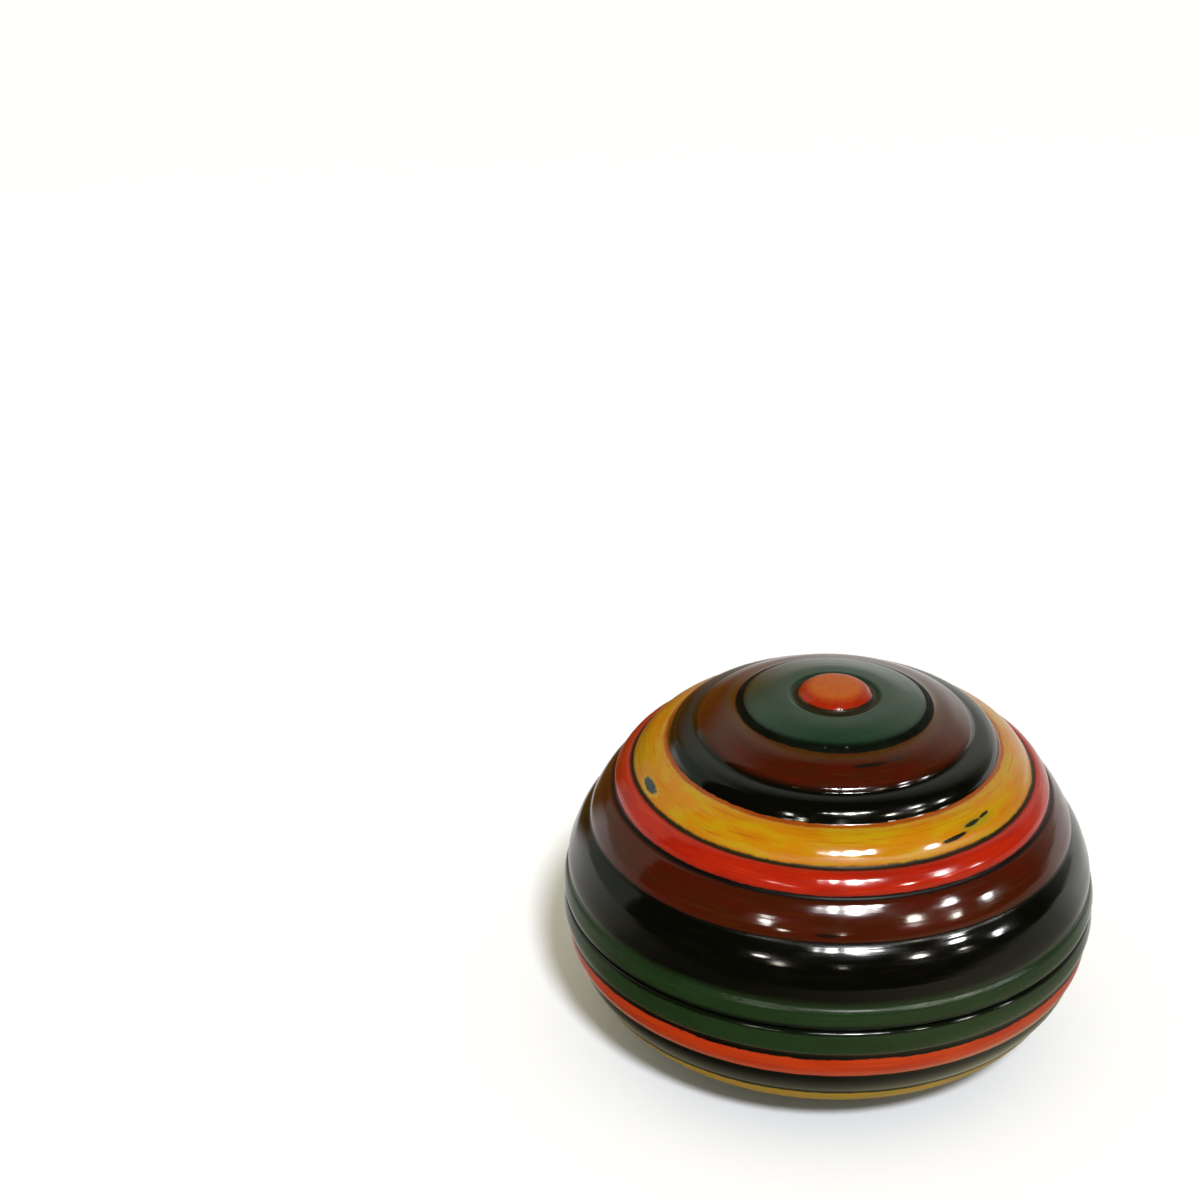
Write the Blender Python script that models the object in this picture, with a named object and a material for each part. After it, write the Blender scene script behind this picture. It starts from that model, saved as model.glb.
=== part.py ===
"""Round lidded incense box, turned from wood and lacquered in concentric coloured rings.

The box stands on the floor plane, centred on the origin, with Z up. Its two pieces share one
axis: a hollow domed lid, which drops over the upstanding lip of a hollow bowl. Outside, every
ring of colour is a turned bead with a round back, and narrow hollow grooves part some of them.
A raised dot is turned at the centre of the lid.
"""

import math
from typing import NamedTuple

import bpy
import bmesh
from mathutils import Vector

MM = 0.001

# Driving dimensions of the outside
JOINT_RADIUS = 37.2 * MM
LID_RISE = 30.3 * MM
BOWL_DROP = 21.6 * MM
FOOT_RADIUS = 18.5 * MM
FOOT_HEIGHT = 0.9 * MM
FOOT_WIDTH = 3.0 * MM

# Fullness of the two outer curves: 2 and 2 make an ellipse, and more makes a squarer shoulder
LID_CROWN_POWER = 2.17
LID_FLANK_POWER = 1.62
BOWL_FLANK_POWER = 3.7
BOWL_BELLY_POWER = 1.84

# Walls, and the joint between the pieces
WALL = 3.6 * MM
FLOOR = 4.0 * MM
FLOOR_RADIUS = 19.3 * MM
LIP_HEIGHT = 2.6 * MM
LIP_THICKNESS = 1.6 * MM
LIP_CLEARANCE = 0.35 * MM
JOINT_GAP = 0.3 * MM
RIM_ROUNDING = 0.5 * MM

# Fineness of the turned surfaces
SIDES = 48
RING_STEP = 1.6 * MM
CAVITY_STEPS = 7
RIM_STEPS = 2
CURVE_SAMPLES = 600
MERGE_DISTANCE = 0.001 * MM
SHARP_ANGLE = math.radians(32)


class Ring(NamedTuple):
    """One turned ring: its lacquer, its width along the curve, and the form of its back.

    The crown is how far the back stands up, or how deep a hollow groove is where it is negative.
    A fullness of 2 is a plain round back, and more is flatter with rounder edges. A lean above 1
    moves the crest down towards the ring's lower edge. The inset is how far that lower edge lies
    inside the base curve.
    """

    lacquer: str
    width: float
    crown: float
    fullness: float = 2.0
    lean: float = 1.0
    inset: float = 0.0


# The rings are laid out in proportion to these widths. The lid's first is the dot at its centre.
LID_RINGS = (
    Ring("orange", 5.05 * MM, 1.05 * MM, fullness=6.0, lean=1.15, inset=-0.08 * MM),
    Ring("black", 1.25 * MM, -0.34 * MM, inset=-0.06 * MM),
    Ring("green", 7.65 * MM, 0.47 * MM, fullness=3.0, lean=1.3, inset=-0.13 * MM),
    Ring("brown", 6.25 * MM, 0.63 * MM, fullness=3.2, lean=1.5, inset=0.3 * MM),
    Ring("black", 4.65 * MM, 0.91 * MM, fullness=1.7, lean=1.1, inset=0.49 * MM),
    Ring("yellow", 5.45 * MM, 0.81 * MM, fullness=1.7, lean=0.87, inset=-0.11 * MM),
    Ring("black", 1.15 * MM, -0.29 * MM, inset=-0.3 * MM),
    Ring("red", 2.95 * MM, 0.39 * MM, fullness=3.7, inset=-0.1 * MM),
    Ring("black", 1.1 * MM, -0.29 * MM, lean=0.9, inset=-0.19 * MM),
    Ring("brown", 5.35 * MM, 0.3 * MM, fullness=2.9, lean=1.34, inset=0.13 * MM),
    Ring("black", 8.7 * MM, 0.83 * MM, fullness=3.2, lean=1.22, inset=0.31 * MM),
    Ring("green", 2.85 * MM, 0.36 * MM, fullness=3.1, lean=0.9),
)
BOWL_RINGS = (
    Ring("green", 3.2 * MM, 0.32 * MM),
    Ring("black", 1.0 * MM, -0.2 * MM),
    Ring("orange", 3.2 * MM, 0.32 * MM),
    Ring("black", 4.4 * MM, 0.32 * MM),
    Ring("yellow", 4.2 * MM, 0.24 * MM),
    Ring("black", 14.3 * MM, 0.5 * MM),
)

LACQUER_COLOURS = {
    "orange": (0.52, 0.09, 0.03),
    "red": (0.42, 0.015, 0.007),
    "yellow": (0.49, 0.19, 0.01),
    "green": (0.02, 0.045, 0.025),
    "brown": (0.05, 0.013, 0.005),
    "black": (0.006, 0.005, 0.004),
}
LACQUER_ROUGHNESS = 0.12


def lid_curve(radius, rise, angle):
    """Point of a domed curve: the centre of the dome at angle 0, its foot at a right angle."""
    along = radius * math.sin(angle) ** (2 / LID_CROWN_POWER)
    up = rise * math.cos(angle) ** (2 / LID_FLANK_POWER)
    return Vector((along, 0, up))


def bowl_curve(radius, drop, angle):
    """Point of a bellied curve: its brim at angle 0, its lowest point at a right angle."""
    along = radius * math.cos(angle) ** (2 / BOWL_FLANK_POWER)
    down = drop * math.sin(angle) ** (2 / BOWL_BELLY_POWER)
    return Vector((along, 0, -down))


def bowl_angle_at_radius(brim_radius, radius):
    """Angle at which the bellied curve of the given brim radius has come in to a radius."""
    return math.acos((radius / brim_radius) ** (BOWL_FLANK_POWER / 2))


def bowl_drop_through(angle, depth):
    """Drop of the bellied curve that reaches a depth at an angle."""
    return depth / math.sin(angle) ** (2 / BOWL_BELLY_POWER)


def lid_angle_at_height(rise, height):
    """Angle at which the domed curve of the given rise has come down to a height."""
    return math.acos((height / rise) ** (LID_FLANK_POWER / 2))


# Heights that follow from the driving dimensions, from the floor upwards
FOOT_ANGLE = bowl_angle_at_radius(JOINT_RADIUS, FOOT_RADIUS)
BOWL_BRIM = FOOT_HEIGHT - bowl_curve(JOINT_RADIUS, BOWL_DROP, FOOT_ANGLE).z
BOWL_FACE = BOWL_BRIM + RIM_ROUNDING
LID_FACE = BOWL_FACE + JOINT_GAP
LID_BRIM = LID_FACE + RIM_ROUNDING
LIP_TOP = BOWL_FACE + LIP_HEIGHT
REBATE_TOP = LIP_TOP + LIP_CLEARANCE
INNER_FLOOR = FOOT_HEIGHT + FLOOR

# Radii that follow from them, from the outside inwards
CAVITY_RADIUS = JOINT_RADIUS - WALL
LIP_RADIUS = CAVITY_RADIUS + LIP_THICKNESS
REBATE_RADIUS = LIP_RADIUS + LIP_CLEARANCE
RIM_FACE_RADIUS = JOINT_RADIUS - RIM_ROUNDING


def outward(step):
    """Direction square to a step of a half section, out of the solid."""
    return Vector((-step.z, 0, step.x)).normalized()


def ring_marks(curve, rings):
    """Points that part the rings along a base curve, each moved in by its ring's inset."""
    lengths = [0.0]
    for before, after in zip(curve, curve[1:]):
        lengths.append(lengths[-1] + (after - before).length)
    total_width = sum(ring.width for ring in rings)
    marks = [curve[0]]
    reached = 0.0
    index = 1
    for ring in rings:
        reached += ring.width / total_width
        goal = reached * lengths[-1]
        while index < len(curve) - 1 and lengths[index] < goal:
            index += 1
        step = curve[index] - curve[index - 1]
        mark = curve[index - 1] + step * ((goal - lengths[index - 1]) / step.length)
        marks.append(mark - outward(step) * ring.inset)
    return marks


def back_height(ring, share, is_dot):
    """How far a ring's back stands off its chord at a share of the way along it."""
    place = share ** ring.lean
    from_crest = place if is_dot else 2 * place - 1
    return ring.crown * (1 - abs(from_crest) ** ring.fullness)


def ring_back(start, end, ring):
    """Points of a ring's back over the chord from start to end. A dot starts on the axis."""
    chord = end - start
    steps = max(2, round(chord.length / RING_STEP))
    is_dot = start.x == 0
    points = []
    for step in range(steps + 1):
        height = back_height(ring, step / steps, is_dot)
        points.append(start + chord * (step / steps) + outward(chord) * height)
    points[-1] = end
    if is_dot:
        points[0] = Vector((0, 0, start.z + ring.crown))
    return points


def ringed_surface(curve, rings):
    """Runs of profile points, one for each ring, laid along a base curve."""
    marks = ring_marks(curve, rings)
    runs = []
    for ring, start, end in zip(rings, marks, marks[1:]):
        runs.append((ring.lacquer, ring_back(start, end, ring)))
    return runs


def rim_arc(start, end):
    """Quarter round from the end of a wall to the flat face of its rim."""
    corner = Vector((start.x, 0, end.z))
    points = []
    for step in range(RIM_STEPS + 1):
        turn = math.pi / 2 * step / RIM_STEPS
        across = (start.x - end.x) * (1 - math.cos(turn))
        along = (corner.z - start.z) * math.sin(turn)
        points.append(Vector((start.x - across, 0, start.z + along)))
    return points


def sampled(curve, first_angle, last_angle, steps, lift):
    """Points of a curve between two angles, raised by the height of the curve's own zero."""
    points = []
    for step in range(steps + 1):
        share = step / steps
        angle = first_angle * (1 - share) + last_angle * share
        points.append(curve(angle) + Vector((0, 0, lift)))
    return points


def lid_profile():
    """Half section of the lid, from the top of the dome round to the top of the hollow."""
    dome = sampled(
        lambda angle: lid_curve(JOINT_RADIUS, LID_RISE, angle),
        0, math.pi / 2, CURVE_SAMPLES, LID_BRIM,
    )
    runs = ringed_surface(dome, LID_RINGS)
    brim = Vector((JOINT_RADIUS, 0, LID_BRIM))
    rim = rim_arc(brim, Vector((RIM_FACE_RADIUS, 0, LID_FACE)))
    runs.append((LID_RINGS[-1].lacquer, rim))
    cavity_rise = LID_RISE - WALL
    cavity_start = lid_angle_at_height(cavity_rise, REBATE_TOP - LID_BRIM)
    cavity = sampled(
        lambda angle: lid_curve(CAVITY_RADIUS, cavity_rise, angle),
        cavity_start, 0, CAVITY_STEPS, LID_BRIM,
    )
    rebate = [
        rim[-1],
        Vector((REBATE_RADIUS, 0, LID_FACE)),
        Vector((REBATE_RADIUS, 0, REBATE_TOP)),
    ]
    runs.append(("black", rebate + cavity))
    return runs


def bowl_profile():
    """Half section of the bowl, from the centre of its hollow over the lip and down to the foot."""
    floor_angle = bowl_angle_at_radius(CAVITY_RADIUS, FLOOR_RADIUS)
    cavity_drop = bowl_drop_through(floor_angle, BOWL_BRIM - INNER_FLOOR)
    cavity = sampled(
        lambda angle: bowl_curve(CAVITY_RADIUS, cavity_drop, angle),
        floor_angle, 0, CAVITY_STEPS, BOWL_BRIM,
    )
    rim = rim_arc(
        Vector((JOINT_RADIUS, 0, BOWL_BRIM)), Vector((RIM_FACE_RADIUS, 0, BOWL_FACE))
    )
    lip = [
        Vector((CAVITY_RADIUS, 0, LIP_TOP)),
        Vector((LIP_RADIUS, 0, LIP_TOP)),
        Vector((LIP_RADIUS, 0, BOWL_FACE)),
        rim[-1],
    ]
    inside = [Vector((0, 0, INNER_FLOOR))] + cavity + lip
    belly = sampled(
        lambda angle: bowl_curve(JOINT_RADIUS, BOWL_DROP, angle),
        0, FOOT_ANGLE, CURVE_SAMPLES, BOWL_BRIM,
    )
    foot = [
        belly[-1],
        Vector((FOOT_RADIUS, 0, 0)),
        Vector((FOOT_RADIUS - FOOT_WIDTH, 0, 0)),
        Vector((FOOT_RADIUS - FOOT_WIDTH, 0, FOOT_HEIGHT)),
        Vector((0, 0, FOOT_HEIGHT)),
    ]
    runs = [("black", inside), (BOWL_RINGS[0].lacquer, rim[::-1])]
    runs += ringed_surface(belly, BOWL_RINGS)
    runs.append(("black", foot))
    return runs


def lacquer_material(lacquer):
    """Glossy lacquer of one colour, made once and shared by both pieces."""
    name = "lacquer_" + lacquer
    if name in bpy.data.materials:
        return bpy.data.materials[name]
    material = bpy.data.materials.new(name)
    material.use_nodes = True
    shader = material.node_tree.nodes["Principled BSDF"]
    colour = LACQUER_COLOURS[lacquer]
    shader.inputs["Base Color"].default_value = (*colour, 1)
    shader.inputs["Roughness"].default_value = LACQUER_ROUGHNESS
    shader.inputs["Metallic"].default_value = 0
    material.diffuse_color = (*colour, 1)
    return material


def turned_piece(name, runs):
    """Spin the runs of a closed half section about Z into one solid, a lacquer for each run."""
    mesh = bpy.data.meshes.new(name)
    slots = []
    bm = bmesh.new()
    for lacquer, points in runs:
        if lacquer not in slots:
            slots.append(lacquer)
            mesh.materials.append(lacquer_material(lacquer))
        corners = [bm.verts.new(point) for point in points]
        edges = [bm.edges.new(pair) for pair in zip(corners, corners[1:])]
        known = set(bm.faces)
        bmesh.ops.spin(
            bm, geom=corners + edges, cent=(0, 0, 0), axis=(0, 0, 1),
            angle=2 * math.pi, steps=SIDES, use_merge=True,
        )
        for face in bm.faces:
            if face not in known:
                face.material_index = slots.index(lacquer)
    bmesh.ops.remove_doubles(bm, verts=bm.verts, dist=MERGE_DISTANCE)
    bmesh.ops.recalc_face_normals(bm, faces=bm.faces)
    bm.to_mesh(mesh)
    bm.free()
    mesh.shade_smooth()
    mesh.set_sharp_from_angle(angle=SHARP_ANGLE)
    piece = bpy.data.objects.new(name, mesh)
    bpy.context.scene.collection.objects.link(piece)
    return piece


def main():
    for old in list(bpy.data.objects):
        bpy.data.objects.remove(old)
    box = bpy.data.objects.new("incense_box", None)
    bpy.context.scene.collection.objects.link(box)
    for piece in (turned_piece("bowl", bowl_profile()), turned_piece("lid", lid_profile())):
        piece.parent = box


main()
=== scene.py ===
"""Looks of the round lidded incense box: lacquer rings on turned beads, floor, light and camera.

The lid and the bowl are turned again here, finely, on the same curves and rings as the solids.
Lengths are in metres and angles in degrees unless a name says otherwise. Azimuths go round the
turning axis, with 0 at the side that faces the camera and positive to the camera's right.
"""

import math
from typing import NamedTuple

import bpy
import numpy as np
from mathutils import Euler, Matrix, Vector

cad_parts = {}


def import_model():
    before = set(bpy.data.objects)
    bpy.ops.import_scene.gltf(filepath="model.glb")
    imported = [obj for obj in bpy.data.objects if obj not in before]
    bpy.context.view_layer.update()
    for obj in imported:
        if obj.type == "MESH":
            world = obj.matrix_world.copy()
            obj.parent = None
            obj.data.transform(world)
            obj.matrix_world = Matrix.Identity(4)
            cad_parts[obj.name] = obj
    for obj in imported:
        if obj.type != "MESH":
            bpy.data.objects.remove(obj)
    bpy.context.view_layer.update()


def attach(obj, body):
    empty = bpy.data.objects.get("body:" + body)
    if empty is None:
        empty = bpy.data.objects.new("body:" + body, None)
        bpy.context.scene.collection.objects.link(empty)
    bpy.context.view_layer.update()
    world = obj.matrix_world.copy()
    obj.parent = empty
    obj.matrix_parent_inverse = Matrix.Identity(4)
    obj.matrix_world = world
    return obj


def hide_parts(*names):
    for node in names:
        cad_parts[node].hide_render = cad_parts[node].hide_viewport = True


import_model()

MM = 0.001

# Outside of the box, as in the solids
JOINT_RADIUS = 37.2 * MM
LID_RISE = 30.3 * MM
BOWL_DROP = 21.6 * MM
FOOT_RADIUS = 18.5 * MM
FOOT_HEIGHT = 0.9 * MM
FOOT_WIDTH = 3.0 * MM
LID_CROWN_POWER = 2.17
LID_FLANK_POWER = 1.62
BOWL_FLANK_POWER = 3.7
BOWL_BELLY_POWER = 1.84

# Walls and joint, as in the solids
WALL = 3.6 * MM
FLOOR = 4.0 * MM
FLOOR_RADIUS = 19.3 * MM
LIP_HEIGHT = 2.6 * MM
LIP_THICKNESS = 1.6 * MM
LIP_CLEARANCE = 0.35 * MM
JOINT_GAP = 0.3 * MM
RIM_ROUNDING = 0.5 * MM

# Fineness of the turned surfaces
SIDES = 288
OUTSIDE_STEP = 0.24 * MM
INSIDE_STEP = 1.6 * MM
RIM_STEPS = 6
CURVE_SAMPLES = 1200
ARC_SAMPLES = 40
CAVITY_STEPS = 40
SLOPE_REACH = 0.1 * MM
CREASE_SOFTNESS = 0.16 * MM
SOFTENING_STEPS = 4
SHARP_ANGLE = math.radians(40)


class Ring(NamedTuple):
    """One turned ring: its width along the curve, and the form of its back.

    The crown is how far the back stands up, or how deep a hollow groove is where it is negative.
    A fullness of 2 is a plain round back, and more is flatter with rounder edges. A lean above 1
    moves the crest down towards the ring's lower edge. The inset is how far that lower edge lies
    inside the base curve.
    """

    width: float
    crown: float
    fullness: float = 2.0
    lean: float = 1.0
    inset: float = 0.0


# The rings of the solids. The lid's first is the dot at its centre.
LID_RINGS = (
    Ring(5.05 * MM, 1.05 * MM, fullness=6.0, lean=1.15, inset=-0.08 * MM),  # orange
    Ring(1.25 * MM, -0.34 * MM, inset=-0.06 * MM),  # black
    Ring(7.65 * MM, 0.47 * MM, fullness=3.0, lean=1.3, inset=-0.13 * MM),  # green
    Ring(6.25 * MM, 0.63 * MM, fullness=3.2, lean=1.5, inset=0.3 * MM),  # brown
    Ring(4.65 * MM, 0.91 * MM, fullness=1.7, lean=1.1, inset=0.49 * MM),  # black
    Ring(5.45 * MM, 0.81 * MM, fullness=1.7, lean=0.87, inset=-0.11 * MM),  # yellow
    Ring(1.15 * MM, -0.29 * MM, inset=-0.3 * MM),  # black
    Ring(2.95 * MM, 0.39 * MM, fullness=3.7, inset=-0.1 * MM),  # red
    Ring(1.1 * MM, -0.29 * MM, lean=0.9, inset=-0.19 * MM),  # black
    Ring(5.35 * MM, 0.3 * MM, fullness=2.9, lean=1.34, inset=0.13 * MM),  # brown
    Ring(8.7 * MM, 0.83 * MM, fullness=3.2, lean=1.22, inset=0.31 * MM),  # black
    Ring(2.85 * MM, 0.36 * MM, fullness=3.1, lean=0.9),  # green
)
BOWL_RINGS = (
    Ring(3.2 * MM, 0.32 * MM),  # green
    Ring(1.0 * MM, -0.2 * MM),  # black
    Ring(3.2 * MM, 0.32 * MM),  # vermilion
    Ring(4.4 * MM, 0.32 * MM),  # black
    Ring(4.2 * MM, 0.24 * MM),  # yellow
    Ring(14.3 * MM, 0.5 * MM),  # black
)

# The photograph's viewpoint
CAMERA_PLACE = (-0.03243, -0.40796, 0.27729)
CAMERA_PITCH = -27.25
CAMERA_ROLL = 0.34
LENS_MM = 101.4
SENSOR_MM = 36
NEAREST_SEEN = 0.02


def lid_curve(radius, rise, angle):
    """Point (radius, height) of a dome: its centre at angle 0 and its foot at a right angle."""
    along = radius * np.sin(angle) ** (2 / LID_CROWN_POWER)
    up = rise * np.cos(angle) ** (2 / LID_FLANK_POWER)
    return np.stack([along, up], -1)


def bowl_curve(radius, drop, angle):
    """Point (radius, height) of a belly: its brim at angle 0 and its lowest at a right angle."""
    along = radius * np.cos(angle) ** (2 / BOWL_FLANK_POWER)
    down = drop * np.sin(angle) ** (2 / BOWL_BELLY_POWER)
    return np.stack([along, -down], -1)


def bowl_angle_at_radius(brim_radius, radius):
    return math.acos((radius / brim_radius) ** (BOWL_FLANK_POWER / 2))


def bowl_drop_through(angle, depth):
    return depth / math.sin(angle) ** (2 / BOWL_BELLY_POWER)


def lid_angle_at_height(rise, height):
    return math.acos((height / rise) ** (LID_FLANK_POWER / 2))


# Heights and radii that follow, as in the solids
FOOT_ANGLE = bowl_angle_at_radius(JOINT_RADIUS, FOOT_RADIUS)
BOWL_BRIM = FOOT_HEIGHT - bowl_curve(JOINT_RADIUS, BOWL_DROP, FOOT_ANGLE)[1]
BOWL_FACE = BOWL_BRIM + RIM_ROUNDING
LID_FACE = BOWL_FACE + JOINT_GAP
LID_BRIM = LID_FACE + RIM_ROUNDING
LIP_TOP = BOWL_FACE + LIP_HEIGHT
REBATE_TOP = LIP_TOP + LIP_CLEARANCE
INNER_FLOOR = FOOT_HEIGHT + FLOOR
CAVITY_RADIUS = JOINT_RADIUS - WALL
LIP_RADIUS = CAVITY_RADIUS + LIP_THICKNESS
REBATE_RADIUS = LIP_RADIUS + LIP_CLEARANCE
RIM_FACE_RADIUS = JOINT_RADIUS - RIM_ROUNDING


def lengths_along(points):
    """Distance from the first point of a polyline to each of its points."""
    steps = np.hypot(*np.diff(points, axis=0).T)
    return np.concatenate([[0], np.cumsum(steps)])


def points_at(points, distances):
    """Points of a polyline at the given distances along it."""
    along = lengths_along(points)
    return np.stack([np.interp(distances, along, points[:, k]) for k in (0, 1)], -1)


def ring_back(start, end, ring):
    """Back of a ring, standing off the chord from start to end. A dot starts on the axis."""
    chord = end - start
    outward = np.array((-chord[1], chord[0])) / np.hypot(*chord)
    share = np.linspace(0, 1, ARC_SAMPLES + 1)
    place = share ** ring.lean
    from_crest = place if start[0] == 0 else 2 * place - 1
    height = ring.crown * (1 - np.abs(from_crest) ** ring.fullness)
    return start + share[:, None] * chord + height[:, None] * outward


def softened(points, softness):
    """A polyline whose creases are rounded, as lacquer rounds them. Its two ends stay in place."""
    total = lengths_along(points)[-1]
    count = round(total * SOFTENING_STEPS / softness)
    even = points_at(points, np.linspace(0, total, count + 1))
    reach = 3 * SOFTENING_STEPS
    weights = np.exp(-0.5 * (np.arange(-reach, reach + 1) / SOFTENING_STEPS) ** 2)
    weights /= weights.sum()
    padded = np.concatenate([
        2 * even[0] - even[reach:0:-1], even, 2 * even[-1] - even[-2:-reach - 2:-1],
    ])
    return np.stack([np.convolve(padded[:, k], weights, "valid") for k in (0, 1)], -1)


def ringed_surface(curve, rings):
    """Profile over the rings laid along a base curve, and the distance at which each ring ends."""
    shares = np.cumsum([0] + [ring.width for ring in rings]) / sum(ring.width for ring in rings)
    distances = shares * lengths_along(curve)[-1]
    after = points_at(curve, distances + SLOPE_REACH)
    chords = after - points_at(curve, distances - SLOPE_REACH)
    outward = np.stack([-chords[:, 1], chords[:, 0]], -1) / np.hypot(*chords.T)[:, None]
    insets = np.array([0] + [ring.inset for ring in rings])
    marks = points_at(curve, distances) - insets[:, None] * outward
    arcs = [ring_back(a, b, ring) for ring, a, b in zip(rings, marks, marks[1:])]
    ends = np.cumsum([lengths_along(arc)[-1] for arc in arcs])
    profile = np.concatenate([arcs[0]] + [arc[1:] for arc in arcs[1:]])
    soft = softened(profile, CREASE_SOFTNESS)
    count = round(lengths_along(soft)[-1] / OUTSIDE_STEP)
    shown = points_at(soft, np.linspace(0, lengths_along(soft)[-1], count + 1))
    along = np.linspace(0, ends[-1], count + 1)
    return shown, along, ends


def rim_arc(start, end):
    """Quarter round from the end of a wall to the flat face of its rim."""
    turn = np.linspace(0, math.pi / 2, RIM_STEPS + 1)
    across = start[0] - (start[0] - end[0]) * (1 - np.cos(turn))
    up = start[1] + (end[1] - start[1]) * np.sin(turn)
    return np.stack([across, up], -1)


def evenly(points, step):
    """A polyline's points again, with more between them so that none are further than a step."""
    out = [points[:1]]
    for before, after in zip(points, points[1:]):
        count = max(1, math.ceil(np.hypot(*(after - before)) / step))
        shares = np.linspace(0, 1, count + 1)[1:, None]
        out.append(before + shares * (after - before))
    return np.concatenate(out)


def lid_profile():
    """Half section of the lid from the top of the dome round to the top of its hollow."""
    angles = np.linspace(0, math.pi / 2, CURVE_SAMPLES + 1)
    dome = lid_curve(JOINT_RADIUS, LID_RISE, angles) + (0, LID_BRIM)
    shown, along, ends = ringed_surface(dome, LID_RINGS)
    shown[0, 0] = 0
    rim = rim_arc(shown[-1], (RIM_FACE_RADIUS, LID_FACE))
    cavity_rise = LID_RISE - WALL
    cavity_start = lid_angle_at_height(cavity_rise, REBATE_TOP - LID_BRIM)
    cavity_angles = np.linspace(cavity_start, 0, CAVITY_STEPS + 1)
    cavity = lid_curve(CAVITY_RADIUS, cavity_rise, cavity_angles) + (0, LID_BRIM)
    rebate = np.array([rim[-1], (REBATE_RADIUS, LID_FACE), (REBATE_RADIUS, REBATE_TOP)])
    inside = evenly(np.concatenate([rebate, cavity[:1]]), INSIDE_STEP)
    rest = np.concatenate([rim[1:-1], inside, cavity[1:]])
    past = along[-1] + lengths_along(np.concatenate([shown[-1:], rest]))[1:]
    return np.concatenate([shown, rest]), np.concatenate([along, past]), ends


def bowl_profile():
    """Half section of the bowl from its inner floor over the lip and down to under the foot."""
    angles = np.linspace(0, FOOT_ANGLE, CURVE_SAMPLES + 1)
    belly = bowl_curve(JOINT_RADIUS, BOWL_DROP, angles) + (0, BOWL_BRIM)
    shown, along, ends = ringed_surface(belly, BOWL_RINGS)
    foot = np.array([
        shown[-1],
        (FOOT_RADIUS, 0),
        (FOOT_RADIUS - FOOT_WIDTH, 0),
        (FOOT_RADIUS - FOOT_WIDTH, FOOT_HEIGHT),
        (0, FOOT_HEIGHT),
    ])
    foot = evenly(foot, INSIDE_STEP)[1:]
    rim = rim_arc(shown[0], (RIM_FACE_RADIUS, BOWL_FACE))
    floor_angle = bowl_angle_at_radius(CAVITY_RADIUS, FLOOR_RADIUS)
    cavity_drop = bowl_drop_through(floor_angle, BOWL_BRIM - INNER_FLOOR)
    cavity_angles = np.linspace(0, floor_angle, CAVITY_STEPS + 1)
    cavity = bowl_curve(CAVITY_RADIUS, cavity_drop, cavity_angles) + (0, BOWL_BRIM)
    lip = np.array([
        rim[-1],
        (LIP_RADIUS, BOWL_FACE),
        (LIP_RADIUS, LIP_TOP),
        (CAVITY_RADIUS, LIP_TOP),
        cavity[0],
    ])
    lip = evenly(lip, INSIDE_STEP)
    base = evenly(np.array([cavity[-1], (0, INNER_FLOOR)]), INSIDE_STEP)
    inner = np.concatenate([rim[1:-1], lip, cavity[1:], base[1:]])[::-1]
    before = -lengths_along(np.concatenate([inner, shown[:1]])[::-1])[1:][::-1]
    after = along[-1] + lengths_along(np.concatenate([shown[-1:], foot]))[1:]
    return np.concatenate([inner, shown, foot]), np.concatenate([before, along, after]), ends


def turned_piece(name, profile, along):
    """Turn a half section whose two ends lie on the axis, keeping each point's distance along."""
    inner = profile[1:-1]
    turn = np.arange(SIDES) * 2 * math.pi / SIDES
    circle = np.stack([np.cos(turn), np.sin(turn)], -1)
    rings = np.concatenate([
        inner[:, None, :1] * circle[None], np.repeat(inner[:, None, 1:], SIDES, axis=1),
    ], -1)
    verts = np.concatenate([
        [(0, 0, profile[0, 1])], rings.reshape(-1, 3), [(0, 0, profile[-1, 1])],
    ])
    last = len(verts) - 1
    side = np.arange(SIDES)
    beside = (side + 1) % SIDES
    faces = [(0, 1 + b, 1 + a) for a, b in zip(side, beside)]
    for row in range(len(inner) - 1):
        top = 1 + row * SIDES
        low = top + SIDES
        faces += [(top + a, top + b, low + b, low + a) for a, b in zip(side, beside)]
    low = 1 + (len(inner) - 1) * SIDES
    faces += [(low + a, low + b, last) for a, b in zip(side, beside)]
    mesh = bpy.data.meshes.new(name)
    mesh.from_pydata(verts.tolist(), [], [tuple(map(int, reversed(f))) for f in faces])
    distances = np.concatenate([along[:1], np.repeat(along[1:-1], SIDES), along[-1:]])
    attribute = mesh.attributes.new("along", "FLOAT", "POINT")
    attribute.data.foreach_set("value", (distances / MM).astype(np.float32))
    mesh.shade_smooth()
    mesh.set_sharp_from_angle(angle=SHARP_ANGLE)
    piece = bpy.data.objects.new(name, mesh)
    bpy.context.scene.collection.objects.link(piece)
    return piece


def camera():
    """The photograph's viewpoint."""
    data = bpy.data.cameras.new("camera")
    data.lens = LENS_MM
    data.sensor_width = SENSOR_MM
    data.clip_start = NEAREST_SEEN
    place = bpy.data.objects.new("camera", data)
    tilt = Euler((math.radians(90 + CAMERA_PITCH), 0, 0)).to_matrix()
    roll = Matrix.Rotation(math.radians(CAMERA_ROLL), 3, "Z")
    place.matrix_world = Matrix.Translation(CAMERA_PLACE) @ (tilt @ roll).to_4x4()
    bpy.context.scene.collection.objects.link(place)
    bpy.context.scene.camera = place


class Lacquer(NamedTuple):
    """One lacquer in linear light: its body, what its streaks go to, and what its clouds go to."""

    body: tuple
    streak: tuple
    cloud: tuple


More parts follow.
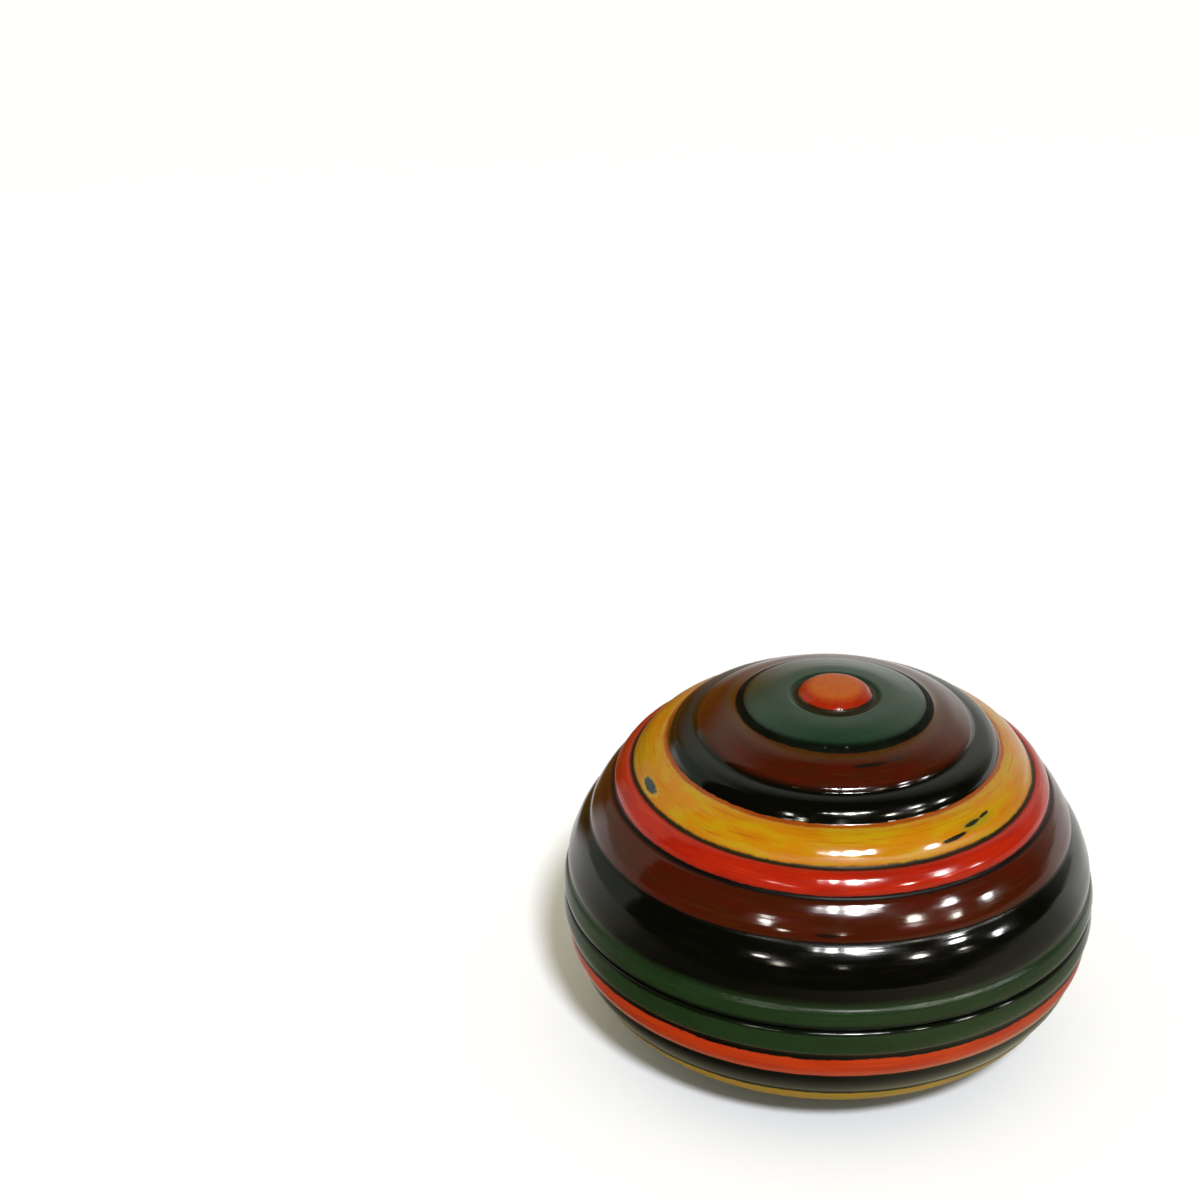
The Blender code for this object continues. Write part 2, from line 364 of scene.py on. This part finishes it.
LACQUERS = {
    "orange": Lacquer((0.390, 0.078, 0.003), (0.41, 0.092, 0.004), (0.36, 0.060, 0.003)),
    # Painted shade: the dot's orange, deeper where its rim turns down and mirrors the dark side of
    # the room
    "deep orange": Lacquer((0.28, 0.015, 0.002), (0.32, 0.026, 0.003), (0.25, 0.012, 0.002)),
    "dark olive": Lacquer((0.018, 0.011, 0.003), (0.022, 0.015, 0.004), (0.014, 0.009, 0.003)),
    "vermilion": Lacquer((0.36, 0.027, 0.002), (0.40, 0.045, 0.003), (0.31, 0.019, 0.002)),
    "red": Lacquer((0.34, 0.012, 0.002), (0.39, 0.024, 0.003), (0.28, 0.009, 0.002)),
    "yellow": Lacquer((0.430, 0.160, 0.002), (0.35, 0.095, 0.002), (0.400, 0.225, 0.003)),
    "olive yellow": Lacquer((0.300, 0.160, 0.003), (0.22, 0.075, 0.002), (0.24, 0.150, 0.004)),
    "amber edge": Lacquer((0.26, 0.050, 0.003), (0.20, 0.027, 0.002), (0.30, 0.070, 0.003)),
    "blue green": Lacquer((0.0105, 0.0310, 0.0140), (0.013, 0.035, 0.015), (0.008, 0.026, 0.013)),
    "green": Lacquer((0.0095, 0.0250, 0.0062), (0.0115, 0.028, 0.007), (0.008, 0.021, 0.005)),
    # Painted shade: the green darkened where it turns down into a crease and into the joint
    "dark green": Lacquer((0.0030, 0.0050, 0.0020), (0.005, 0.008, 0.003), (0.002, 0.003, 0.001)),
    # Painted reflection: the brown paled at the upper edge of its ring, where it mirrors the
    # bright room behind
    "pale brown": Lacquer((0.054, 0.0190, 0.0015), (0.062, 0.021, 0.002), (0.060, 0.013, 0.001)),
    "brown": Lacquer((0.041, 0.0058, 0.0008), (0.053, 0.011, 0.001), (0.054, 0.0042, 0.001)),
    "black": Lacquer((0.0012, 0.0012, 0.0004), (0.003, 0.0028, 0.001), (0.0010, 0.0010, 0.0004)),
}


class Paint(NamedTuple):
    """A lacquer, and the share of a ring's back at which it gives way to the next paint.

    The softness is half the width of that change, in millimetres, and the brush is how far its
    edge wanders.
    """

    lacquer: str
    ring: int
    until: float
    softness: float = 0.07
    brush: float = 1.0


LID_PAINTS = (
    Paint("orange", 0, 0.70, 0.90, 0.5),
    # The dot's rim is painted a deeper orange: painted shade, where it turns down and mirrors the
    # dark side of the room
    Paint("deep orange", 0, 0.99, 0.08),
    Paint("dark olive", 1, 0.70, 0.55),
    Paint("blue green", 2, 0.78, 0.50),
    # The green's outer edge darkens into the crease beside the brown: painted shade
    Paint("dark green", 2, 0.985, 0.18),
    # The brown's upper edge is painted paler: a painted reflection of the bright room behind
    Paint("pale brown", 3, 0.20, 0.9),
    Paint("brown", 3, 0.90, 0.7),
    Paint("black", 4, 0.97, 0.06),
    Paint("amber edge", 5, 0.09, 0.16, 1.6),
    Paint("yellow", 6, 0.27, 0.22, 1.3),
    Paint("dark olive", 6, 0.80, 0.20),
    Paint("red", 8, 0.14, 0.14),
    Paint("black", 8, 0.74, 0.34),
    Paint("brown", 9, 0.97, 0.18),
    Paint("black", 10, 0.95, 0.85),
    Paint("green", 11, 0.90, 0.22),
    # The lid's green darkens at its lower edge into the joint: painted shade
    Paint("dark green", 11, 2.0),
)
BOWL_PAINTS = (
    # The bowl's green darkens at its rim into the joint: painted shade
    Paint("dark green", 0, 0.0, 0.12),
    Paint("green", 0, 0.99, 0.14),
    Paint("black", 1, 0.97, 0.09, 1.4),
    Paint("vermilion", 2, 0.99, 0.07),
    Paint("black", 4, 0.14, 0.14, 1.6),
    Paint("olive yellow", 4, 0.80, 0.18, 1.8),
    Paint("black", 5, 2.0),
)


class Mark(NamedTuple):
    """A small flaw: where its middle is, its half sizes in millimetres, its slant, and its colour.

    The azimuth is in degrees, and the place is a share of the ring's back. A slant leans its
    right end towards the top of the dome, in millimetres for each millimetre.
    """

    azimuth: float
    ring: int
    place: float
    half_length: float
    half_width: float
    colour: tuple
    slant: float = 0.0
    strength: float = 1.0
    softness: float = 0.35


LID_MARKS = (
    # Bruise in the yellow, with a paler rim
    Mark(-71, 5, 0.85, 2.7, 1.05, (0.46, 0.32, 0.025), strength=0.6, softness=0.5),
    Mark(-71, 5, 0.82, 2.1, 0.74, (0.035, 0.045, 0.040), softness=0.45),
    # Two dashes in the yellow with an olive stain round them
    Mark(44, 5, 0.66, 3.0, 0.75, (0.24, 0.19, 0.010), strength=0.8, softness=0.9),
    Mark(47.6, 5, 0.59, 1.1, 0.24, (0.016, 0.022, 0.008), slant=0.10),
    Mark(42.0, 5, 0.64, 1.5, 0.30, (0.016, 0.022, 0.008), slant=0.06, softness=0.6),
    Mark(34.2, 5, 0.80, 2.1, 0.31, (0.006, 0.008, 0.004), slant=0.06, softness=0.5),
    # Smudges on the brown rings
    Mark(15, 3, 0.36, 2.1, 0.36, (0.006, 0.005, 0.003), strength=0.9, softness=0.7),
    Mark(9, 3, 0.38, 1.0, 0.26, (0.010, 0.006, 0.003), strength=0.7, softness=0.8),
    Mark(29, 3, 0.32, 1.4, 0.5, (0.020, 0.012, 0.008), strength=0.6, softness=0.9),
    Mark(-4, 9, 0.80, 1.6, 0.26, (0.004, 0.003, 0.002), strength=0.85, softness=0.7),
    Mark(88, 9, 0.38, 0.7, 0.45, (0.16, 0.15, 0.02), strength=0.8, softness=0.5),
    # Painted highlights: two small light flecks in the darkened edge of the green, where the lamps
    # glint
    Mark(4, 2, 0.86, 0.22, 0.16, (0.06, 0.085, 0.06), strength=0.8, softness=0.8),
    Mark(-9, 2, 0.88, 0.18, 0.14, (0.05, 0.07, 0.045), strength=0.6, softness=0.8),
)


def node(tree, kind, inputs=(), **settings):
    """Add a node, set its properties, and fill its inputs with values or with links."""
    made = tree.nodes.new(kind)
    for name, value in settings.items():
        setattr(made, name, value)
    for key, value in dict(inputs).items():
        socket = made.inputs[key]
        if isinstance(value, bpy.types.NodeSocket):
            tree.links.new(value, socket)
        else:
            socket.default_value = value
    return made


def maths(tree, operation, first, second=0.0, third=0.0):
    inputs = {0: first, 1: second, 2: third}
    return node(tree, "ShaderNodeMath", inputs, operation=operation).outputs[0]


def vector_maths(tree, operation, first, second):
    inputs = {0: first, 1: second}
    return node(tree, "ShaderNodeVectorMath", inputs, operation=operation)


def mixed(tree, share, first, second):
    """Colour that goes from first to second as share goes from 0 to 1."""
    made = node(tree, "ShaderNodeMix", data_type="RGBA")
    for name, value in (("Factor", share), ("A", first), ("B", second)):
        socket = next(s for s in made.inputs if s.name == name and s.enabled)
        if isinstance(value, bpy.types.NodeSocket):
            tree.links.new(value, socket)
        else:
            socket.default_value = value if name == "Factor" else (*value, 1)
    return next(s for s in made.outputs if s.enabled)


def ramped(tree, value, low, high, first=0.0, last=1.0):
    """The first number below low, the last one above high, and smooth between."""
    inputs = {"Value": value, "From Min": low, "From Max": high, "To Min": first, "To Max": last}
    return node(tree, "ShaderNodeMapRange", inputs, interpolation_type="SMOOTHSTEP").outputs[0]


def graded(tree, value, stops):
    """Colour that runs through the stops, which are pairs of a place from 0 to 1 and a colour."""
    made = node(tree, "ShaderNodeValToRGB", {0: value})
    elements = made.color_ramp.elements
    while len(elements) < len(stops):
        elements.new(0.5)
    for element, (place, colour) in zip(elements, stops):
        element.position = place
        element.color = (*colour, 1)
    return made.outputs["Color"]


def azimuth_of(tree, x, y):
    """Azimuth in degrees from 0 to 360, with 90 to the camera's right and 180 behind the box."""
    turn = maths(tree, "ARCTAN2", x, maths(tree, "MULTIPLY", y, -1.0))
    return maths(tree, "FLOORED_MODULO", maths(tree, "DEGREES", turn), 360.0)


class Grain(NamedTuple):
    """Noise, by how quickly it runs along X and Y, how quickly along Z, and how fine it gets."""

    around: float
    down: float
    detail: float = 2.0
    roughness: float = 0.5


# Grains of the lacquer, round the axis and down the profile. With each of the first three goes
# how far it moves the edges between paints, in millimetres
WANDERS = (
    (Grain(2.4, 0.35), 0.34),
    (Grain(17.0, 0.8, 3.0, 0.6), 0.30),
    (Grain(55.0, 3.0), 0.12),
)
STREAKS = Grain(3.2, 2.6, 5.0, 0.62)
CLOUDS = Grain(3.6, 0.5, 4.0, 0.6)
MIST = Grain(5.0, 0.6, 4.0, 0.6)
TURNING = Grain(0.7, 1.9)

# Between which values of their noise these three come up
STREAKS_SPAN = (0.50, 0.74)
CLOUDS_SPAN = (0.42, 0.66)
MIST_SPAN = (0.35, 0.70)

# Grains in space: frayed edges of the flaws, and dimples in the gloss
FRAY = Grain(1400, 1400, 3.0, 0.65)
FRAY_REACH = 0.9
DIMPLES = Grain(420, 420, 1.0)


def noise(tree, vector, grain):
    scale = (grain.around, grain.around, grain.down)
    placed = vector_maths(tree, "MULTIPLY", vector, scale).outputs[0]
    inputs = {"Vector": placed, "Scale": 1.0, "Detail": grain.detail, "Roughness": grain.roughness}
    return node(tree, "ShaderNodeTexNoise", inputs).outputs["Fac"]


class Place(NamedTuple):
    """Sockets that tell where a point is on a turned piece."""

    position: object
    x: object
    y: object
    along: object
    ring: object


def turned_place(tree):
    """Where a point is: its position, its distance along the profile, and a place for streaks.

    The place for streaks is a direction round the axis in X and Y and the distance along the
    profile, in millimetres, in Z. Noise over it can run slowly round the axis and quickly across
    the rings.
    """
    along = node(tree, "ShaderNodeAttribute", attribute_name="along").outputs["Fac"]
    position = node(tree, "ShaderNodeTexCoord").outputs["Object"]
    flat = vector_maths(tree, "MULTIPLY", position, (1, 1, 0)).outputs[0]
    direction = node(tree, "ShaderNodeVectorMath", {0: flat}, operation="NORMALIZE").outputs[0]
    split = node(tree, "ShaderNodeSeparateXYZ", {0: direction})
    inputs = {"X": split.outputs["X"], "Y": split.outputs["Y"], "Z": along}
    ring = node(tree, "ShaderNodeCombineXYZ", inputs).outputs[0]
    place = node(tree, "ShaderNodeSeparateXYZ", {0: position})
    return Place(position, place.outputs["X"], place.outputs["Y"], along, ring)


def ring_place(ends, ring, share):
    """Distance along the profile, in millimetres, of a share of one ring's back."""
    start = 0 if ring == 0 else ends[ring - 1]
    return float(start + (ends[ring] - start) * share) / MM


def marked(tree, place, colour, mark, ends, ragged):
    """The colour with one flaw painted over it. Ragged is noise that frays its edge."""
    azimuth = math.radians(mark.azimuth)
    across = maths(tree, "MULTIPLY", place.x, math.cos(azimuth) / MM)
    sideways = maths(tree, "MULTIPLY_ADD", place.y, math.sin(azimuth) / MM, across)
    outward = maths(tree, "MULTIPLY", place.x, math.sin(azimuth))
    facing = maths(tree, "MULTIPLY_ADD", place.y, -math.cos(azimuth), outward)
    middle = ring_place(ends, mark.ring, mark.place)
    level = maths(tree, "MULTIPLY_ADD", sideways, mark.slant, place.along)
    down = maths(tree, "SUBTRACT", level, middle)
    far = maths(tree, "POWER", maths(tree, "ABSOLUTE", maths(
        tree, "DIVIDE", sideways, mark.half_length)), 2.0)
    near = maths(tree, "POWER", maths(tree, "ABSOLUTE", maths(
        tree, "DIVIDE", down, mark.half_width)), 2.0)
    reach = maths(tree, "SQRT", maths(tree, "ADD", far, near))
    frayed = maths(tree, "ADD", reach, ragged)
    inside = ramped(tree, frayed, 1 + mark.softness / 2, 1 - mark.softness / 2, 0.0, mark.strength)
    shown = maths(tree, "MULTIPLY", inside, maths(tree, "GREATER_THAN", facing, 0.0))
    return mixed(tree, shown, colour, mark.colour)


def lacquer_colour(tree, name, streaks, clouds):
    lacquer = LACQUERS[name]
    clouded = mixed(tree, clouds, lacquer.body, lacquer.cloud)
    return mixed(tree, streaks, clouded, lacquer.streak)


# The rims, the inside and the foot are plain black from this far past the rings, in millimetres
PLAIN_FROM = 0.7
PLAIN_FULLY = 0.9


def painted_rings(tree, place, paints, marks, ends):
    """Colour of the whole piece: every paint up to its brushed edge, then the flaws."""
    wavy = 0.0
    for grain, reach in WANDERS:
        swing = maths(tree, "MULTIPLY_ADD", noise(tree, place.ring, grain), reach, -reach / 2)
        wavy = maths(tree, "ADD", swing, wavy)
    streaks = ramped(tree, noise(tree, place.ring, STREAKS), *STREAKS_SPAN)
    clouds = ramped(tree, noise(tree, place.ring, CLOUDS), *CLOUDS_SPAN)
    names = sorted({paint.lacquer for paint in paints} | {"black"})
    lacquers = {name: lacquer_colour(tree, name, streaks, clouds) for name in names}
    colour = lacquers[paints[0].lacquer]
    for before, after in zip(paints, paints[1:]):
        edge = ring_place(ends, before.ring, before.until)
        level = maths(tree, "MULTIPLY_ADD", wavy, before.brush, place.along)
        share = ramped(tree, level, edge - before.softness, edge + before.softness)
        colour = mixed(tree, share, colour, lacquers[after.lacquer])
    frayed = noise(tree, place.position, FRAY)
    ragged = maths(tree, "MULTIPLY_ADD", frayed, FRAY_REACH, -FRAY_REACH / 2)
    for mark in marks:
        colour = marked(tree, place, colour, mark, ends, ragged)
    last = float(ends[-1]) / MM
    before = ramped(tree, place.along, -PLAIN_FULLY, -PLAIN_FROM, 1.0, 0.0)
    beyond = ramped(tree, place.along, last + PLAIN_FROM, last + PLAIN_FULLY)
    return mixed(tree, maths(tree, "MAXIMUM", before, beyond), colour, lacquers["black"])


class DullBand(NamedTuple):
    """Where a ring shines less, between two shares of its back, and how much shine is left."""

    ring: int
    start: float
    end: float
    shine: float


# The dot is worn, and the grooves hold dust
LID_DULL = (
    DullBand(0, -0.5, 0.82, 0.36),
    DullBand(1, 0.1, 1.0, 0.28),
    DullBand(2, 0.82, 1.0, 0.07),
    DullBand(5, 0.88, 1.0, 0.45),
    DullBand(6, 0.0, 0.95, 0.25),
    DullBand(8, 0.1, 0.95, 0.35),
    DullBand(10, -0.02, 0.05, 0.60),
    DullBand(11, -0.02, 0.30, 0.62),
)
BOWL_DULL = (
    DullBand(4, 0.0, 1.0, 0.35),
)

# Gloss: how much a clean place mirrors, how rough it is without and with mist, and what dust adds
REFRACTION = 1.5
CLEAN_SPECULAR = 0.5
CLEAREST = 0.08
MISTIEST = 0.15
DUST_ROUGHNESS = 0.4
DUST_EDGE = 0.2
RELIEF_DEPTH = 0.05 * MM
RELIEF_STRENGTH = 0.28
DIMPLE_SHARE = 0.5


def lacquer_material(name, paints, marks, ends, dull_bands):
    """Glossy lacquer in rings, with brushed edges, streaks, clouds, flaws and duller bands."""
    material = bpy.data.materials.new(name)
    material.use_nodes = True
    tree = material.node_tree
    shader = tree.nodes["Principled BSDF"]
    place = turned_place(tree)
    tree.links.new(painted_rings(tree, place, paints, marks, ends), shader.inputs["Base Color"])
    shader.inputs["IOR"].default_value = REFRACTION
    shine = 1.0
    for band in dull_bands:
        start = ring_place(ends, band.ring, band.start)
        end = ring_place(ends, band.ring, band.end)
        begun = ramped(tree, place.along, start - DUST_EDGE, start + DUST_EDGE)
        still = ramped(tree, place.along, end - DUST_EDGE, end + DUST_EDGE, 1.0, 0.0)
        inside = maths(tree, "MULTIPLY", begun, still)
        shine = maths(tree, "MULTIPLY", shine, ramped(tree, inside, 0, 1, 1.0, band.shine))
    specular = maths(tree, "MULTIPLY", shine, CLEAN_SPECULAR)
    tree.links.new(specular, shader.inputs["Specular IOR Level"])
    misty = ramped(tree, noise(tree, place.ring, MIST), *MIST_SPAN, CLEAREST, MISTIEST)
    dull = maths(tree, "SUBTRACT", 1.0, shine)
    rough = maths(tree, "MULTIPLY_ADD", dull, DUST_ROUGHNESS, misty)
    tree.links.new(rough, shader.inputs["Roughness"])
    dimpled = noise(tree, place.position, DIMPLES)
    turned = noise(tree, place.ring, TURNING)
    relief = maths(tree, "MULTIPLY_ADD", dimpled, DIMPLE_SHARE, turned)
    inputs = {"Height": relief, "Strength": RELIEF_STRENGTH, "Distance": RELIEF_DEPTH}
    bump = node(tree, "ShaderNodeBump", inputs)
    tree.links.new(bump.outputs["Normal"], shader.inputs["Normal"])
    return material


FLOOR_SIZE = 2.5
FLOOR_COLOUR = (0.985, 0.98, 0.972, 1)
FLOOR_ROUGHNESS = 0.9
FLOOR_SPECULAR = 0.2
# Painted reflection of the floor: the colour it glows with for gloss rays alone, as pairs of an
# azimuth from 0 to 360
# and a colour: dim and warm on the camera's side, where the sheet that the box stands on ends
# close by, bright behind
FLOOR_PAINTED_REFLECTION = (
    (0, (0.150, 0.141, 0.093)),
    (20, (0.270, 0.254, 0.167)),
    (45, (0.380, 0.361, 0.247)),
    (85, (0.340, 0.330, 0.255)),
    (100, (0.440, 0.431, 0.370)),
    (114, (0.850, 0.840, 0.790)),
    (180, (0.960, 0.940, 0.940)),
    (235, (0.780, 0.765, 0.730)),
    (262, (0.400, 0.384, 0.320)),
    (278, (0.130, 0.124, 0.088)),
    (295, (0.055, 0.052, 0.034)),
    (325, (0.054, 0.051, 0.033)),
    (345, (0.105, 0.099, 0.065)),
    (360, (0.150, 0.141, 0.093)),
)
# Painted reflection: under the belly the floor glows a little brighter again in the gloss
NEAR_PAINTED_GLOW = (0.20, 0.185, 0.125)
NEAR_TO = 0.034
NEAR_GONE_BY = 0.042
# Where the floor's painted reflection turns to a warm brown tone at the back left. Each pair is
# where there is none of
# it and where it is full: azimuths at its two sides, and distances
WARM_BEGINS = (177, 195)
WARM_ENDS = (230, 218)
WARM_BEYOND = (0.088, 0.116)
WARM_PAINTED_REFLECTION = (0.18, 0.085, 0.016)


def floor():
    """Plain pale ground. The gloss sees a painted reflection of it: an emission, dim in front,
    brighter under the belly, warm brown at the back left.
    """
    bpy.ops.mesh.primitive_circle_add(vertices=128, radius=FLOOR_SIZE, fill_type="NGON")
    ground = bpy.context.object
    ground.name = "floor"
    material = bpy.data.materials.new("floor")
    material.use_nodes = True
    tree = material.node_tree
    shader = tree.nodes["Principled BSDF"]
    shader.inputs["Base Color"].default_value = FLOOR_COLOUR
    shader.inputs["Roughness"].default_value = FLOOR_ROUGHNESS
    shader.inputs["Specular IOR Level"].default_value = FLOOR_SPECULAR
    position = node(tree, "ShaderNodeTexCoord").outputs["Object"]
    place = node(tree, "ShaderNodeSeparateXYZ", {0: position})
    around = azimuth_of(tree, place.outputs["X"], place.outputs["Y"])
    stops = [(azimuth / 360, colour) for azimuth, colour in FLOOR_PAINTED_REFLECTION]
    glow = graded(tree, maths(tree, "DIVIDE", around, 360.0), stops)
    far = node(tree, "ShaderNodeVectorMath", {0: position}, operation="LENGTH").outputs["Value"]
    near = ramped(tree, far, NEAR_TO, NEAR_GONE_BY, 1.0, 0.0)
    raised = vector_maths(tree, "ADD", glow, NEAR_PAINTED_GLOW).outputs[0]
    glow = mixed(tree, near, glow, raised)
    begun = ramped(tree, around, *WARM_BEGINS)
    still = ramped(tree, around, *WARM_ENDS)
    warm = maths(tree, "MULTIPLY", maths(tree, "MULTIPLY", begun, still), ramped(
        tree, far, *WARM_BEYOND))
    glow = mixed(tree, warm, glow, WARM_PAINTED_REFLECTION)
    # The gloss sees this emission instead of the lit floor: a painted reflection that glows though
    # the floor is no lamp
    mirrored = node(tree, "ShaderNodeEmission", {"Color": glow, "Strength": 1.0})
    path = node(tree, "ShaderNodeLightPath")
    inputs = {0: path.outputs["Is Glossy Ray"], 1: shader.outputs[0], 2: mirrored.outputs[0]}
    seen = node(tree, "ShaderNodeMixShader", inputs)
    tree.links.new(seen.outputs[0], tree.nodes["Material Output"].inputs["Surface"])
    ground.data.materials.append(material)


class Lamp(NamedTuple):
    """An oval light, by where it is seen from the box, its size as angles, and its glow."""

    name: str
    azimuth: float
    elevation: float
    width: float
    height: float
    glow: float
    colour: tuple = (1, 1, 1)
    distance: float = 1.6


WARM = (1.0, 0.93, 0.78)
# Lamps that only the gloss mirrors
SPOTS = (
    Lamp("key_1", -8.1, 44.0, 2.4, 3.0, 36),
    Lamp("key_2", -0.7, 44.4, 3.4, 4.6, 110),
    Lamp("key_3", 11.0, 44.0, 6.0, 7.0, 160),
    Lamp("key_4", 17.7, 44.0, 2.4, 3.0, 40),
    Lamp("key_5", 22.3, 44.4, 4.0, 4.6, 100),
    Lamp("left", -31.8, 23.9, 5.0, 4.4, 36, (1, 0.97, 0.90)),
    Lamp("left_small", -23.2, 17.2, 4.0, 2.2, 36, WARM),
    Lamp("front_low", 3.4, 18.3, 2.4, 1.6, 22, WARM),
    Lamp("right", 37.2, 25.4, 4.8, 4.2, 80, WARM),
    Lamp("right_far", 57.9, 30.8, 6.4, 4.4, 60),
    Lamp("right_low", 56.5, 17.6, 3.6, 3.0, 44, WARM),
    Lamp("right_side", 74.7, 18.3, 4.4, 4.0, 55),
)
# Light that only falls on colour, and casts the shadow
SOFT_LIGHTS = (
    Lamp("key", 9, 44.2, 8, 7, 168, (0.97, 1, 1.09), 9.0),
)
AIM = Vector((0, 0, 0.03))


def lamp(form, mirrored):
    """Place a lamp facing the box. It lights either the gloss alone or all but the gloss."""
    azimuth = math.radians(form.azimuth)
    elevation = math.radians(form.elevation)
    toward = Vector((
        math.sin(azimuth) * math.cos(elevation),
        -math.cos(azimuth) * math.cos(elevation),
        math.sin(elevation),
    ))
    data = bpy.data.lights.new(form.name, "AREA")
    data.shape = "ELLIPSE"
    data.size = 2 * form.distance * math.tan(math.radians(form.width / 2))
    data.size_y = 2 * form.distance * math.tan(math.radians(form.height / 2))
    data.energy = form.glow * math.pi * data.size * data.size_y
    data.color = form.colour
    light = bpy.data.objects.new(form.name, data)
    light.location = AIM + toward * form.distance
    light.rotation_mode = "QUATERNION"
    light.rotation_quaternion = toward.to_track_quat("Z", "Y")
    light.visible_camera = False
    light.visible_glossy = mirrored
    light.visible_diffuse = not mirrored
    bpy.context.scene.collection.objects.link(light)


class Panel(NamedTuple):
    """A pale part of the room in the gloss, between azimuths from 0 to 360.

    It comes up from start to full_from and goes down from full_to to end, and it fades out between
    the elevations top and gone.
    """

    start: float
    full_from: float
    full_to: float
    end: float
    top: float
    gone: float
    colour: tuple


ROOM_DARK = (0.022, 0.020, 0.013)
PANELS = (
    # White ground that stands up behind the box, brightest low down
    Panel(98, 155, 258, 264, 24, 68, (0.70, 0.71, 0.62)),
    Panel(164, 184, 258, 264, 22, 66, (0.44, 0.49, 0.41)),
    Panel(128, 158, 194, 206, 13, 25, (1.10, 1.10, 1.04)),
    # It is dimmer at the left
    Panel(221, 225, 258, 264, 16, 60, (0.32, 0.36, 0.29)),
    # A warm brown tone low down at the back left
    Panel(172, 192, 214, 228, 17, 39, (0.36, 0.140, 0.018)),
)
ROOM_LIGHT = (0.53, 0.515, 0.40)
GROUND_WHITE = 1.1


def world():
    """White for the camera, even light for colour, and a room for the gloss to mirror."""
    made = bpy.data.worlds.new("room")
    bpy.context.scene.world = made
    made.use_nodes = True
    tree = made.node_tree
    tree.nodes.clear()
    direction = node(tree, "ShaderNodeTexCoord").outputs["Generated"]
    split = node(tree, "ShaderNodeSeparateXYZ", {0: direction})
    azimuth = azimuth_of(tree, split.outputs["X"], split.outputs["Y"])
    elevation = maths(tree, "DEGREES", maths(tree, "ARCSINE", split.outputs["Z"]))
    room = ROOM_DARK
    for panel in PANELS:
        begun = ramped(tree, azimuth, panel.start, panel.full_from)
        still = ramped(tree, azimuth, panel.full_to, panel.end, 1.0, 0.0)
        under = ramped(tree, elevation, panel.top, panel.gone, 1.0, 0.0)
        share = maths(tree, "MULTIPLY", maths(tree, "MULTIPLY", begun, still), under)
        room = mixed(tree, share, room, panel.colour)
    mirrored = node(tree, "ShaderNodeBackground", {"Color": room, "Strength": 1.0})
    even = node(tree, "ShaderNodeBackground", {"Color": (*ROOM_LIGHT, 1), "Strength": 1.0})
    white = node(tree, "ShaderNodeBackground", {"Color": (1, 1, 1, 1), "Strength": GROUND_WHITE})
    path = node(tree, "ShaderNodeLightPath")
    inputs = {0: path.outputs["Is Glossy Ray"], 1: even.outputs[0], 2: mirrored.outputs[0]}
    lit = node(tree, "ShaderNodeMixShader", inputs)
    inputs = {0: path.outputs["Is Camera Ray"], 1: lit.outputs[0], 2: white.outputs[0]}
    seen = node(tree, "ShaderNodeMixShader", inputs)
    node(tree, "ShaderNodeOutputWorld", {"Surface": seen.outputs[0]})


def main():
    camera()
    lid = ("lid", lid_profile(), LID_PAINTS, LID_MARKS, LID_DULL)
    bowl = ("bowl", bowl_profile(), BOWL_PAINTS, (), BOWL_DULL)
    for name, (profile, along, ends), paints, marks, dull_bands in (lid, bowl):
        piece = turned_piece(name + "_lacquered", profile, along)
        material = lacquer_material(name + "_lacquer", paints, marks, ends, dull_bands)
        piece.data.materials.append(material)
        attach(piece, "root")
        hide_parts(name)
    floor()
    for form in SPOTS:
        lamp(form, mirrored=True)
    for form in SOFT_LIGHTS:
        lamp(form, mirrored=False)
    world()
    bpy.context.scene.view_settings.view_transform = "Standard"


main()
